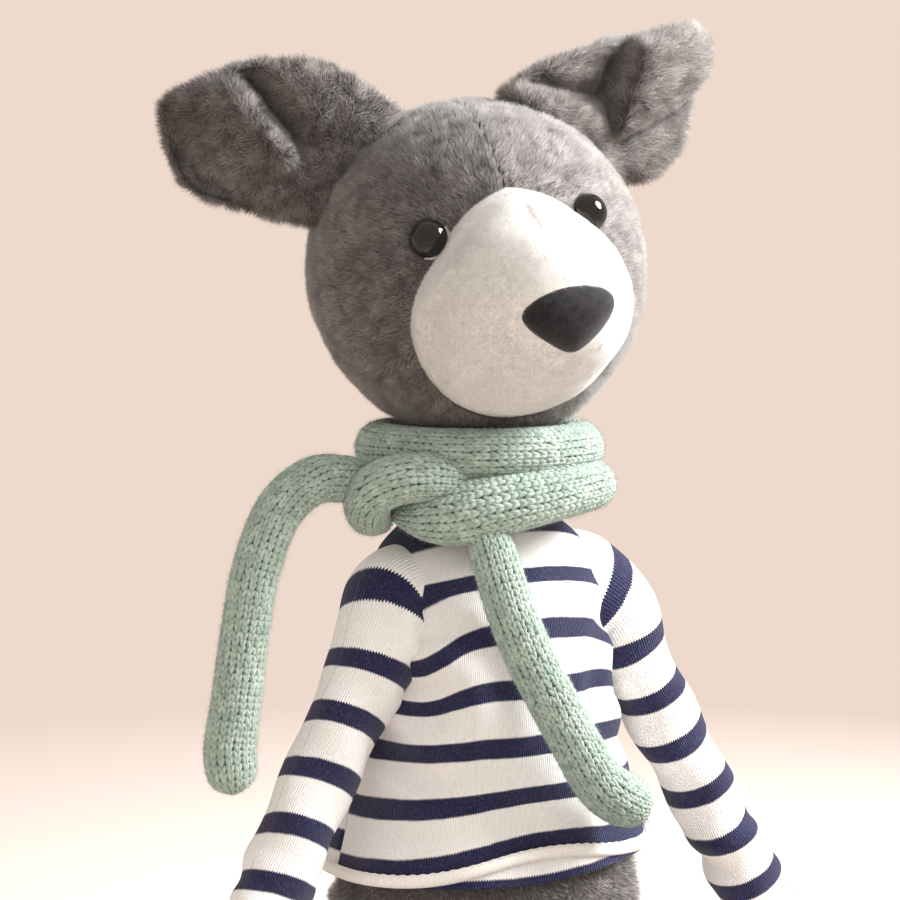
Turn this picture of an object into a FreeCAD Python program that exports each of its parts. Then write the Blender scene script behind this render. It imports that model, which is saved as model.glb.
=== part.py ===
"""A seated plush dog: stuffed body, long arms and legs, jersey top and knitted scarf.

Millimetres. +Z is up, the dog faces -Y and its right side is -X. The origin is the middle of
the flat seat panel that it sits on. Every piece is one closed solid in its own file.
"""
import FreeCAD, Part
import math
import os

V = FreeCAD.Vector

# ---- driving dimensions ---------------------------------------------------------------------
FABRIC = 1.2                # plush backing with its pile, as one layer
JERSEY = 1.0                # jersey of the top
GAP = 0.5                   # air between two pieces that move against each other
LEAN = -0.0226              # the stuffed body leans to its right, per mm of height

SEAT_TO_HEAD = 221.4        # seat to the middle of the head ball
HEAD_R = 51.0
HEAD_TURN = -14.2           # the head is turned to the dog's right,
HEAD_TILT = -8.0            # tipped sideways
HEAD_NOD = 9.5              # and lowered a little, in degrees

SNOUT_TIP = 80.0            # from the middle of the head ball
SNOUT_RISE = 6.5            # the snout's tip lies this much above the ball's middle
MUZZLE_CONE = [(22.0, 39.5), (36.0, 35.0), (50.0, 28.5), (64.0, 21.5), (74.0, 15.5)]
LINING_TIP = (72.8, 15.0)   # end of the same cone inside the muzzle's cloth
NOSE_HALF = (14.5, 6.5, 11.0)
EYE_R = 5.6
EYE_SIDE = 25.5             # sideways and up from the middle of the head ball
EYE_UP = 22.5
EYE_SUNK = 1.0              # middle of an eye's dome, below the head's surface
EYE_STEM_R = 1.6
EYE_STEM_LENGTH = 9.0
WASHER_DEPTH = 3.0          # front of the washer, below the head's surface
WASHER_R = 6.0
WASHER_T = 1.4

EAR_OUTLINE = [(20, 46), (27, 60), (39, 68), (54, 71.5), (72, 69.5), (86, 63),
               (87, 50), (81, 36), (67, 26), (46, 20)]
EAR_LAYER = 3.0             # each of an ear's two layers
EAR_BACK = 8.0              # an ear's seam lies this far behind the middle of the head ball
EAR_CLEAR = 2.0             # lets an ear fold about its root without rubbing on the head

NECK_R = 14.0
NECK_LOW = 147.0

# height, half width and half depth of the stuffed body, without its clothes
BODY = [(0, 40, 35), (5, 44, 39), (14, 47, 42), (26, 48, 43), (42, 46, 40.5), (62, 42, 37),
        (86, 38, 33.5), (110, 36, 30.5), (124, 34, 27), (134, 30.5, 22.5), (141, 22, 18.5),
        (146.5, 17, 16.5)]
BEAN_TOP = 30.0             # the seat is weighted with pellets up to here
# the same for the outside of the jersey top, from its flared hem to the neckline
TOP = [(42, 52, 43.6), (52, 49, 42), (62, 46, 40.2), (85, 41, 36.5), (112, 38.4, 33.4),
       (126, 37, 29.8), (135, 33.5, 25), (141, 24, 20.8)]
HEM_BAND = 3.0
NECK_BAND = 2.0
FASTENER_HALF = 5.5         # strip of hook and loop down the back opening
FASTENER_T = 0.9
LABEL = (8.0, 13.0, 0.8)    # blank care label in the back seam

SHOULDER = (42.0, -5.5, 114.0)          # middle of a sleeve head
ARM_OUT = 0.532             # how far an arm leads outwards
ARM_FORWARD = 0.112         # and forwards for each mm that it drops
SLEEVE_R = 11.0
SOCKET = 40.0               # length of the cone that a sleeve sweeps, beyond the body's side
CUFF_Z = 15.5
CUFF_LENGTH = 4.5
HAND_Z = 10.9               # middle of the hand
HAND_R = 10.8

HIP = (27.0, -54.0, 17.0)   # middle of the thigh's round end
LEG_R = 14.5
ANKLE_R = 12.0
LEG_LENGTH = 84.0
FOOT_HALF = (14.5, 11.0, 21.0)

TAIL_ROOT = (0.0, 50.5, 17.0)
TAIL_TIP = (0.0, 92.0, 8.0)
TAIL_R = 6.5

SCARF_R = 7.5               # the knitted tube of the scarf
WRAP_HIGH = (165.5, 29.8)   # height and radius of its upper turn about the neck
WRAP_LOW = (152.0, 32.5)    # and of its lower turn,
WRAP_LOW_TILT = 11.0        # which hangs lower at the front
WRAP_LOW_TOWARDS = 41.0     # towards this side of straight ahead
KNOT = (-38.5, -11.0, 155.5)
KNOT_HALF = (12.5, 11.0, 12.0)
END_R = 7.0
BULB_R = 8.0
SIDE_END = [(-54.5, -9.0, 161.5), (-66, -8.5, 162), (-77.5, -9, 154), (-85.5, -10, 138),
            (-90, -10.5, 118), (-93, -11, 98), (-95.5, -11.5, 84), (-95, -12, 78)]
FRONT_END = [(-19.5, -37, 134.5), (-18, -41, 124), (-13, -44, 110), (-6.5, -47, 96),
             (-0.5, -49.5, 84), (5.5, -51, 73.5), (12, -51, 68), (17.5, -50.5, 65.5)]

SIDES = (("right", -1), ("left", 1))
HEAD_CENTRE = V(LEAN * SEAT_TO_HEAD, 0, SEAT_TO_HEAD)
BIG = 600.0                 # edge of the boxes that cut pieces in two


# ---- geometry helpers -----------------------------------------------------------------------
def ball(centre, radius):
    return Part.makeSphere(radius, V(*centre))


def ellipsoid(centre, half):
    """A ball stretched to three half axes about its centre."""
    matrix = FreeCAD.Matrix()
    matrix.scale(V(*half))
    matrix.move(V(*centre))
    return Part.makeSphere(1.0).transformGeometry(matrix)


def slab(low, high):
    size = [b - a for a, b in zip(low, high)]
    return Part.makeBox(size[0], size[1], size[2], V(*low))


def half_space(axis, sign):
    """A very large box on one side of the YZ, XZ or XY plane."""
    low = [-BIG, -BIG, -BIG]
    high = [BIG, BIG, BIG]
    if sign > 0:
        low["xyz".index(axis)] = 0.0
    else:
        high["xyz".index(axis)] = 0.0
    return slab(low, high)


def spline_wire(points, closed=False):
    curve = Part.BSplineCurve()
    curve.interpolate([V(*p) for p in points], PeriodicFlag=closed)
    return Part.Wire([curve.toShape()])


def oval(z, half_x, half_y, points=16):
    """A closed oval at height z, carried sideways by the body's lean."""
    ring = []
    for i in range(points):
        angle = 2 * math.pi * i / points
        ring.append((LEAN * z + half_x * math.cos(angle), half_y * math.sin(angle), z))
    return spline_wire(ring, closed=True)


def loft(rings, inset=0.0):
    """The solid through a list of (height, half width, half depth), drawn in by inset."""
    return Part.makeLoft([oval(z, a - inset, b - inset) for z, a, b in rings], True, False)


def tube(points, radius, end_radius):
    """A round rod along a smooth route, with a ball on each end."""
    curve = Part.BSplineCurve()
    curve.interpolate([V(*p) for p in points])
    along = V(*curve.tangent(curve.FirstParameter)[0])
    ring = Part.Wire([Part.makeCircle(radius, V(*points[0]), along)])
    rod = Part.Wire([curve.toShape()]).makePipeShell([ring], True, False)
    return rod.fuse(ball(points[0], radius)).fuse(ball(points[-1], end_radius))


def capsule(start, end, radius, end_radius):
    """A straight tapered limb between two balls."""
    axis = end - start
    if radius == end_radius:
        shaft = Part.makeCylinder(radius, axis.Length, start, axis)
    else:
        shaft = Part.makeCone(radius, end_radius, axis.Length, start, axis)
    return shaft.fuse([Part.makeSphere(radius, start), Part.makeSphere(end_radius, end)])


def turned(profile, axis):
    """The solid of revolution of (distance, radius) points about a line from the origin."""
    line = [V(r, 0, d) for d, r in profile]
    curve = Part.BSplineCurve()
    curve.interpolate(line)
    edges = [Part.makeLine(V(0, 0, line[0].z), line[0]), curve.toShape(),
             Part.makeLine(line[-1], V(0, 0, line[-1].z)),
             Part.makeLine(V(0, 0, line[-1].z), V(0, 0, line[0].z))]
    solid = Part.Face(Part.Wire(edges)).revolve(V(0, 0, 0), V(0, 0, 1), 360)
    solid = Part.makeSolid(solid) if solid.ShapeType == "Shell" else solid
    solid.Placement = FreeCAD.Placement(V(0, 0, 0), FreeCAD.Rotation(V(0, 0, 1), axis))
    return solid


def head_place(shape):
    """Carries a piece from the head's own frame to where the head is held."""
    turn = FreeCAD.Rotation(V(0, 0, 1), HEAD_TURN)
    tilt = FreeCAD.Rotation(V(0, 1, 0), HEAD_TILT)
    nod = FreeCAD.Rotation(V(1, 0, 0), HEAD_NOD)
    placed = shape.copy()
    placed.Placement = FreeCAD.Placement(HEAD_CENTRE, turn * tilt * nod) * shape.Placement
    return placed


def save(name, shape):
    solids = shape.Solids
    if len(solids) != 1 or not shape.isValid():
        print(name, "has", len(solids), "solids, valid:", shape.isValid())
    solid = max(solids, key=lambda s: s.Volume)
    solid.exportStep("parts/" + name + ".step")
    return solid


# ---- limbs' own lines -----------------------------------------------------------------------
def arm_point(side, z):
    drop = SHOULDER[2] - z
    return V(side * (SHOULDER[0] + ARM_OUT * drop) + LEAN * SHOULDER[2],
             SHOULDER[1] - ARM_FORWARD * drop, z)


def shoulder_socket():
    """The space that both sleeves sweep as they swing: a cone about each shoulder's axis."""
    spread = math.atan(math.hypot(1, ARM_FORWARD) / ARM_OUT)
    behind = (SLEEVE_R + GAP) / math.sin(spread)
    cones = []
    for _, side in SIDES:
        tip = arm_point(side, SHOULDER[2]) - V(side * behind, 0, 0)
        cones.append(Part.makeCone(0, SOCKET * math.tan(spread), SOCKET, tip, V(side, 0, 0)))
    return cones[0].fuse(cones[1])


def end_roots():
    """The space that the roots of the scarf's two ends swing in."""
    return ball(SIDE_END[0], END_R + GAP).fuse(ball(FRONT_END[0], END_R + GAP))


# ---- body and seat --------------------------------------------------------------------------
def make_body():
    top = BODY[-1][0]
    inner = loft(BODY, FABRIC).common(slab((-BIG, -BIG, FABRIC), (BIG, BIG, top - FABRIC)))
    outer = loft(BODY)
    panel = outer.common(slab((-BIG, -BIG, 0), (BIG, BIG, FABRIC)))
    skin = outer.cut([inner, panel, shoulder_socket()])
    save("torso_skin_front", skin.common(half_space("y", -1)))
    save("torso_skin_back", skin.common(half_space("y", 1)))
    save("base_panel", panel)
    save("bean_bag", inner.common(slab((-BIG, -BIG, 0), (BIG, BIG, BEAN_TOP))))
    filling = inner.common(slab((-BIG, -BIG, BEAN_TOP), (BIG, BIG, top)))
    save("torso_stuffing", filling.cut(shoulder_socket()))


def make_top():
    outer = loft(TOP)
    shell = outer.cut([loft(TOP, JERSEY), shoulder_socket()])
    hem_z = TOP[0][0]
    neck_z = TOP[-1][0]
    save("shirt_front", shell.common(half_space("y", -1)))
    save("shirt_back", shell.common(half_space("y", 1)))
    save("shirt_hem", band(hem_z - HEM_BAND, hem_z, TOP[0][1] + 0.4, TOP[0][2] + 0.4))
    save("shirt_neck_binding", band(neck_z, neck_z + NECK_BAND, TOP[-1][1], TOP[-1][2]))
    strip = loft(TOP, -FASTENER_T).cut(outer)
    low = (LEAN * 90 - FASTENER_HALF, 0, hem_z + 4)
    high = (LEAN * 90 + FASTENER_HALF, BIG, neck_z - 3)
    save("shirt_fastener", strip.common(slab(low, high)))


def band(low, high, half_x, half_y):
    """A binding: a low ring of double jersey."""
    outer = loft([(low, half_x, half_y), (high, half_x, half_y)])
    return outer.cut(loft([(low, half_x, half_y), (high, half_x, half_y)], 2 * JERSEY))


def make_label():
    wide, tall, thick = LABEL
    back = max(b for _, _, b in BODY)
    low = (22, back - 9.5, 12)
    box = slab(low, (low[0] + thick, low[1] + wide + 8, low[2] + tall))
    save("care_label", box.cut(loft(BODY)))


# ---- head -----------------------------------------------------------------------------------
def snout_axis():
    return V(0, -SNOUT_TIP, SNOUT_RISE)


def eye_centre(side):
    ahead = math.sqrt(HEAD_R ** 2 - EYE_SIDE ** 2 - EYE_UP ** 2)
    return V(side * EYE_SIDE, -ahead, EYE_UP)


def make_head():
    centre = (0, 0, 0)
    room = [eye_room(side) for _, side in SIDES]
    lining_profile = [(d, r - FABRIC) for d, r in MUZZLE_CONE[:-1]] + [LINING_TIP]
    cone = turned(MUZZLE_CONE, snout_axis()).cut(room)
    lining = turned(lining_profile, snout_axis()).cut(room)
    skull = ball(centre, HEAD_R)
    inside = ball(centre, HEAD_R - FABRIC)
    stems = [eye_stem(side) for _, side in SIDES]
    skin = skull.cut([inside, cone] + stems)
    muzzle = cone.cut([skull, lining])
    washers = [eye_washer(side) for _, side in SIDES]
    filling = inside.fuse(lining.cut(inside)).removeSplitter().cut(stems + washers)
    for name, side in SIDES:
        half = half_space("x", side)
        save("head_skin_" + name, head_place(skin.common(half)))
        save("muzzle_skin_" + name, head_place(muzzle.common(half)))
    save("head_stuffing", head_place(filling))
    make_nose(cone)
    make_eyes(skull)


def eye_room(side):
    """The muzzle's seam runs round this ball, so that the eye stands clear of it."""
    out = eye_centre(side)
    out.normalize()
    return Part.makeSphere(EYE_R + GAP, out * (HEAD_R - EYE_SUNK))


def eye_stem(side):
    out = eye_centre(side)
    out.normalize()
    start = out * (HEAD_R - EYE_STEM_LENGTH)
    return Part.makeCylinder(EYE_STEM_R, EYE_STEM_LENGTH, start, out)


def eye_washer(side):
    out = eye_centre(side)
    out.normalize()
    start = out * (HEAD_R - WASHER_DEPTH - WASHER_T)
    disc = Part.makeCylinder(WASHER_R, WASHER_T, start, out)
    return disc.cut(eye_stem(side))


def make_eyes(skull):
    for name, side in SIDES:
        out = eye_centre(side)
        out.normalize()
        dome = Part.makeSphere(EYE_R, out * (HEAD_R - EYE_SUNK)).cut(skull)
        save("eye_" + name, head_place(dome.fuse(eye_stem(side)).removeSplitter()))
        save("eye_washer_" + name, head_place(eye_washer(side)))


def make_nose(cone):
    axis = snout_axis()
    axis.normalize()
    tip = axis * (MUZZLE_CONE[-1][0] + 1.5)
    pad = ellipsoid((tip.x, tip.y, tip.z), NOSE_HALF)
    save("nose_pad", head_place(pad.cut(cone)))


def make_ears():
    room = ball((0, 0, 0), HEAD_R + EAR_CLEAR)
    for name, side in SIDES:
        outline = spline_wire([(side * x, EAR_BACK, z) for x, z in EAR_OUTLINE], closed=True)
        face = Part.Face(outline)
        front = face.extrude(V(0, -EAR_LAYER, 0)).cut(room)
        back = face.extrude(V(0, EAR_LAYER, 0)).cut(room)
        save("ear_front_" + name, head_place(front))
        save("ear_back_" + name, head_place(back))


def make_neck():
    top = SEAT_TO_HEAD - math.sqrt(HEAD_R ** 2 - NECK_R ** 2)
    room = Part.makeSphere(HEAD_R + GAP, HEAD_CENTRE)
    foot = V(HEAD_CENTRE.x, 0, NECK_LOW)
    whole = Part.makeCylinder(NECK_R, top - NECK_LOW + 2, foot).cut(room)
    core = Part.makeCylinder(NECK_R - FABRIC, BIG, foot)
    save("neck_skin", whole.cut(core))
    save("neck_stuffing", whole.common(core))


# ---- limbs ----------------------------------------------------------------------------------
def make_arms():
    for name, side in SIDES:
        shoulder = arm_point(side, SHOULDER[2])
        cuff = arm_point(side, CUFF_Z)
        hand = arm_point(side, HAND_Z)
        inner_r = SLEEVE_R - JERSEY
        along = cuff - shoulder
        open_end = Part.makeCylinder(BIG, BIG, cuff, along)
        outer = capsule(shoulder, cuff, SLEEVE_R, SLEEVE_R).cut(open_end)
        arm = capsule(shoulder, hand, inner_r, inner_r)
        palm = Part.makeSphere(HAND_R, hand)
        filling = capsule(shoulder, hand, inner_r - FABRIC, inner_r - FABRIC)
        filling = filling.fuse(Part.makeSphere(HAND_R - FABRIC, hand)).removeSplitter()
        along.normalize()
        hole = Part.makeCylinder(inner_r - FABRIC - 2, SLEEVE_R, shoulder - along * SLEEVE_R, along)
        save("sleeve_" + name, outer.cut([arm, hole]))
        save("arm_skin_" + name, arm.fuse(palm).removeSplitter().cut([filling, hole]))
        save("arm_stuffing_" + name, filling)
        ring = Part.makeCylinder(SLEEVE_R + 0.4, CUFF_LENGTH, cuff, along)
        save("cuff_" + name, ring.cut([arm.fuse(palm)]))


def make_legs():
    for name, side in SIDES:
        hip = V(side * HIP[0], HIP[1], HIP[2])
        ankle = V(hip.x, hip.y - LEG_LENGTH, ANKLE_R + 0.6)
        skin = capsule(hip, ankle, LEG_R, ANKLE_R)
        filling = capsule(hip, ankle, LEG_R - FABRIC, ANKLE_R - FABRIC)
        sole = ellipsoid((hip.x, ankle.y - 9.0, FOOT_HALF[2] + 0.6), FOOT_HALF)
        hole = Part.makeCylinder(LEG_R - 5, LEG_R, hip, V(0, 1, 0))
        save("leg_skin_" + name, skin.cut([filling, hole, sole]))
        save("leg_stuffing_" + name, filling.cut(sole))
        save("foot_" + name, sole)


def make_tail():
    root = V(*TAIL_ROOT)
    tip = V(*TAIL_TIP)
    skin = capsule(root, tip, TAIL_R, TAIL_R)
    filling = capsule(root, tip, TAIL_R - FABRIC, TAIL_R - FABRIC)
    hole = Part.makeCylinder(TAIL_R - 3, TAIL_R, root, V(0, -1, 0))
    save("tail_skin", skin.cut([filling, hole]))
    save("tail_stuffing", filling)


# ---- scarf ----------------------------------------------------------------------------------
def make_scarf():
    high_z, high_r = WRAP_HIGH
    low_z, low_r = WRAP_LOW
    upper = Part.makeTorus(high_r, SCARF_R, V(LEAN * high_z, 0, high_z))
    lower = Part.makeTorus(low_r, SCARF_R)
    towards = math.radians(WRAP_LOW_TOWARDS)
    hinge = V(math.cos(towards), -math.sin(towards), 0)
    tilt = FreeCAD.Rotation(hinge, WRAP_LOW_TILT)
    lower.Placement = FreeCAD.Placement(V(LEAN * low_z, 0, low_z), tilt)
    roots = end_roots()
    wrap = upper.fuse(lower).cut(roots)
    knot = ellipsoid(KNOT, KNOT_HALF)
    save("scarf_wrap", wrap)
    save("scarf_knot", knot.cut([upper, lower, roots]))
    for name, route in (("scarf_end_side", SIDE_END), ("scarf_end_front", FRONT_END)):
        save(name, tube(route, END_R, BULB_R))


os.makedirs("parts", exist_ok=True)
make_body()
make_top()
make_label()
make_head()
make_ears()
make_neck()
make_arms()
make_legs()
make_tail()
make_scarf()
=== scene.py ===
"""The looks of a seated plush dog in a striped jersey top and a knitted scarf.

Shapes are worked out in millimetres in the row's frame and stored in metres.
"""
import bpy
import math
import numpy as np
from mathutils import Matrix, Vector


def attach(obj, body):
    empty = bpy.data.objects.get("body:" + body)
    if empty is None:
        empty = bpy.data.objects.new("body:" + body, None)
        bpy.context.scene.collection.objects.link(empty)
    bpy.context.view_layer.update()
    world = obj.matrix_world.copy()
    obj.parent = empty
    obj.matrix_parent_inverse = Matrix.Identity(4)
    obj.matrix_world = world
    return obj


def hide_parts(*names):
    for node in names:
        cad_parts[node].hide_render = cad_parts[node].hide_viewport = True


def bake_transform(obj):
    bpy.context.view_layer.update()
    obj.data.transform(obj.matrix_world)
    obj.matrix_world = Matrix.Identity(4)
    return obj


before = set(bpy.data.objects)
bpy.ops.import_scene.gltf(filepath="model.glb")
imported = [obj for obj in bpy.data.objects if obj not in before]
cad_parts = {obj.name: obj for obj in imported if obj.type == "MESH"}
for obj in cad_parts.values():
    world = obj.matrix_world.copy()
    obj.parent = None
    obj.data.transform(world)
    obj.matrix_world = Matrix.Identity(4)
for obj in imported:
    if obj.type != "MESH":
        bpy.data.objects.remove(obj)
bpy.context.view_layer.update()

MM = 0.001
SIDES = (("right", -1.0), ("left", 1.0))

# ---- driving dimensions, millimetres and degrees ---------------------------------------------
LEAN = -0.0226              # how far the dog leans to its left for each mm of height
HEAD_Z = 221.4
HEAD_R = 49.2               # cloth under the pile
HEAD_TURN, HEAD_TILT, HEAD_NOD = -14.2, -8.0, 9.5
PATCH_DIR = np.array([0.0, -0.99955, -0.03])    # the white muzzle's seam runs round this
PATCH_UP = np.array([0.0, -0.03, 0.99955])
# the seam: turn from straight down, -90, to straight up, 90, and its angle from PATCH_DIR
PATCH_EDGE = [(-90, 46), (-60, 45), (-30, 43), (0, 41), (20, 38.5), (40, 37), (60, 39.5), (90, 43.5)]
EYE_SIDE, EYE_UP = 25.5, 22.5
EYE_OUT, EYE_SEAT = 51.0, 49.6          # from the head's middle: the dome's bulk, and its rim
NOSE_MID = (0.8, -79.0, 5.6)

PILE_HEAD, PILE_EAR, PILE_BODY, PILE_MUZZLE = 2.5, 3.3, 2.4, 0.75       # hair lengths
HEAD_HAIRS, EAR_HAIRS, MUZZLE_HAIRS = 330000, 110000, 110000
HAIRS_PER_PIECE = 60000
HAIR_CORNERS = (0, 2.094, 4.189)        # a hair's three sides, in radians round it

WALE = 0.75                 # jersey ribs
JERSEY_R = 46.0             # radius at which the ribs are counted round the body
STRIPE_PERIOD = 17.65
STRIPE_WIDTH = 6.4
STRIPE_TOP = 134.0          # height of one navy stripe's middle, from which the others follow

# rings of the body and of the top: height, half width, half depth
BODY = [(0, 38, 33), (4, 43, 38), (14, 46, 41), (26, 47, 42), (42, 45, 39.5), (62, 41, 36),
        (86, 37, 32.5), (110, 34.5, 29.5), (124, 32.5, 26), (134, 29, 21.5), (141, 21, 17.5), (146, 16, 15.5)]
TOP = [(41.2, 52.6, 44.2), (45, 51.4, 43.2), (52, 49.2, 42), (62, 46.2, 40.2), (85, 41.4, 36.8),
       (112, 38.6, 33.6), (124, 37.4, 30.6), (133, 35.6, 26.6), (139, 32, 23.4), (143.5, 26.5, 21.4),
       (147, 20.5, 19.6)]
SEAM_Y = 4.0                # the top's side seams lie this much behind its middle
SEAM_STEP = -6.5            # its stripes miss each other there by this much

SHOULDER = (42.0, -5.5, 114.0)
ARM_OUT, ARM_FORWARD = 0.532, 0.112     # how far the arm goes out and forward for each mm down
SLEEVE_R = 11.2
CUFF_Z, HAND_Z = 15.5, 10.9
HAND_R = 8.9

HIP = (27.0, -54.0, 17.0)
LEG_LENGTH = 84.0
LEG_R, ANKLE_R = 12.8, 10.6
FOOT_WIDE, FOOT_TALL = 12.6, 19.0       # half sizes
TAIL_ROOT = (0.0, 50.5, 17.0)
TAIL_TIP = (0.0, 92.0, 8.0)

KNIT_WALE, KNIT_COURSE = 2.35, 2.0      # the scarf's stitches, across and along the tube
KNIT_WILD = 0.06                        # how uneven they are, in stitches
VIEWER_TURN = 31.0                      # the dog is seen from this far round to its right


# ---- numbers and vectors ---------------------------------------------------------------------
def unit(v):
    v = np.asarray(v, float)
    return v / np.maximum(np.linalg.norm(v, axis=-1, keepdims=True), 1e-9)


def smooth(edge0, edge1, x):
    t = np.clip((x - edge0) / (edge1 - edge0), 0, 1)
    return t * t * (3 - 2 * t)


def bump(x, width):
    return np.exp(-(np.asarray(x) / width) ** 2)


def rotation(axis, degrees):
    a = math.radians(degrees)
    c, s = math.cos(a), math.sin(a)
    i, j = [(1, 2), (2, 0), (0, 1)]["xyz".index(axis)]
    m = np.eye(3)
    m[i, i], m[j, j], m[i, j], m[j, i] = c, c, -s, s
    return m


HEAD_TURNED = rotation("z", HEAD_TURN) @ rotation("y", HEAD_TILT) @ rotation("x", HEAD_NOD)
HEAD_AT = np.array([LEAN * HEAD_Z, 0.0, HEAD_Z])


def head_place(points):
    return points @ HEAD_TURNED.T + HEAD_AT


LATTICE = np.random.default_rng(3).uniform(-1, 1, (32, 32, 32, 3))


def noise3(points, size, shift=0.0):
    """Smooth three-channel noise with features about size mm across."""
    p = np.asarray(points) / size + shift
    cell = np.floor(p).astype(int)
    f = p - cell
    f = f * f * (3 - 2 * f)
    out = 0.0
    for dx in (0, 1):
        for dy in (0, 1):
            for dz in (0, 1):
                w = (f[:, 0] if dx else 1 - f[:, 0]) * (f[:, 1] if dy else 1 - f[:, 1])
                w = w * (f[:, 2] if dz else 1 - f[:, 2])
                corner = (cell + (dx, dy, dz)) % 32
                out = out + w[:, None] * LATTICE[corner[:, 0], corner[:, 1], corner[:, 2]]
    return out


def distances(line):
    """How far along a line each of its points lies."""
    return np.r_[0, np.cumsum(np.linalg.norm(np.diff(line, axis=0), axis=1))]


def read_at(at, along, fields):
    """The columns of fields, known at the distances along, read at other distances."""
    return np.stack([np.interp(at, along, fields[:, k]) for k in range(fields.shape[1])], 1)


def turns(count):
    return np.linspace(0, 2 * math.pi, count, endpoint=False)


def curve_through(points, count):
    """count points along a smooth Catmull-Rom line through the given ones, evenly spaced."""
    p = np.asarray(points, float)
    p = np.vstack([2 * p[0] - p[1], p, 2 * p[-1] - p[-2]])
    line = []
    for i in range(1, len(p) - 2):
        t = np.linspace(0, 1, 24, endpoint=False)[:, None]
        a, b, c, d = p[i - 1], p[i], p[i + 1], p[i + 2]
        line.append(0.5 * (2 * b + (c - a) * t + (2 * a - 5 * b + 4 * c - d) * t ** 2
                           + (3 * b - a - 3 * c + d) * t ** 3))
    line = np.vstack(line + [p[-2][None]])
    along = distances(line)
    return read_at(np.linspace(0, along[-1], count), along, line)


def carried_frames(line, first):
    """The line's direction and two unit vectors across it, carried along without twist."""
    tangent = unit(np.gradient(line, axis=0))
    across = [unit(np.asarray(first) - np.dot(first, tangent[0]) * tangent[0])]
    for t in tangent[1:]:
        v = across[-1] - np.dot(across[-1], t) * t
        across.append(unit(v))
    across = np.array(across)
    return tangent, across, np.cross(tangent, across)


def rings(e1, e2, turn, wide=1.0, tall=1.0):
    """Ovals across a line, as offsets from each of its points."""
    return np.cos(turn)[None, :, None] * e1[:, None] * wide + np.sin(turn)[None, :, None] * e2[:, None] * tall


# ---- meshes ----------------------------------------------------------------------------------
def make_mesh(name, points, faces, uv=None, normals=None):
    """A mesh object from points in mm and faces of one length each; uv is per point."""
    points = np.ascontiguousarray(points, dtype=np.float32) * MM
    faces = np.ascontiguousarray(faces, dtype=np.int32)
    sides = faces.shape[1]
    mesh = bpy.data.meshes.new(name)
    mesh.vertices.add(len(points))
    mesh.vertices.foreach_set("co", points.ravel())
    mesh.loops.add(faces.size)
    mesh.loops.foreach_set("vertex_index", faces.ravel())
    mesh.polygons.add(len(faces))
    mesh.polygons.foreach_set("loop_start", np.arange(0, faces.size, sides, dtype=np.int32))
    mesh.polygons.foreach_set("use_smooth", np.ones(len(faces), dtype=bool))
    if uv is not None:
        layer = mesh.uv_layers.new(name="UVMap")
        layer.data.foreach_set("uv", np.asarray(uv, np.float32)[faces.ravel()].ravel())
    mesh.update(calc_edges=True)
    mesh.validate()
    if normals is not None:
        mesh.normals_split_custom_set_from_vertices(np.asarray(normals, np.float32))
    piece = bpy.data.objects.new(name, mesh)
    bpy.context.scene.collection.objects.link(piece)
    return piece


def grid_faces(rows, cols, closed):
    r = np.arange(rows - 1)[:, None]
    c = np.arange(cols if closed else cols - 1)[None, :]
    nxt = (c + 1) % cols if closed else c + 1
    quads = [r * cols + c, r * cols + nxt, (r + 1) * cols + nxt, (r + 1) * cols + c]
    return np.stack([np.broadcast_to(q, (rows - 1, c.shape[1])) for q in quads], -1).reshape(-1, 4)


def grid_mesh(name, points, closed=True, uv=None, flip=False):
    """A mesh from points[row][column]; closed joins the last column to the first."""
    rows, cols = points.shape[:2]
    faces = grid_faces(rows, cols, closed)
    if flip:
        faces = faces[:, ::-1]
    flat_uv = None if uv is None else uv.reshape(-1, 2)
    return make_mesh(name, points.reshape(-1, 3), faces, flat_uv)


def normals_of(points):
    """Outward normals of a closed points[row][column] surface, rows rising, columns turning left."""
    around = np.roll(points, -1, 1) - np.roll(points, 1, 1)
    return unit(np.cross(around, np.gradient(points, axis=0)))


def outward(normals, away):
    """The same normals, all turned over if they point inwards."""
    return normals if (normals * away).sum() > 0 else -normals


def sample_grid(points, normals, count, rng):
    """count random places on a closed points[row][column] surface, with their normals."""
    cols = points.shape[1]
    nxt = np.roll(points, -1, 1)
    area = np.linalg.norm(np.cross(nxt[:-1] - points[:-1], points[1:] - points[:-1]), axis=2)
    chance = area.ravel() / area.sum()
    cell = rng.choice(chance.size, count, p=chance)
    r, c = np.divmod(cell, cols)
    fr, fc = rng.random(count)[:, None], rng.random(count)[:, None]
    c2 = (c + 1) % cols

    def mix(field):
        low = field[r, c] * (1 - fc) + field[r, c2] * fc
        high = field[r + 1, c] * (1 - fc) + field[r + 1, c2] * fc
        return low * (1 - fr) + high * fr
    return mix(points), unit(mix(normals))


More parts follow.
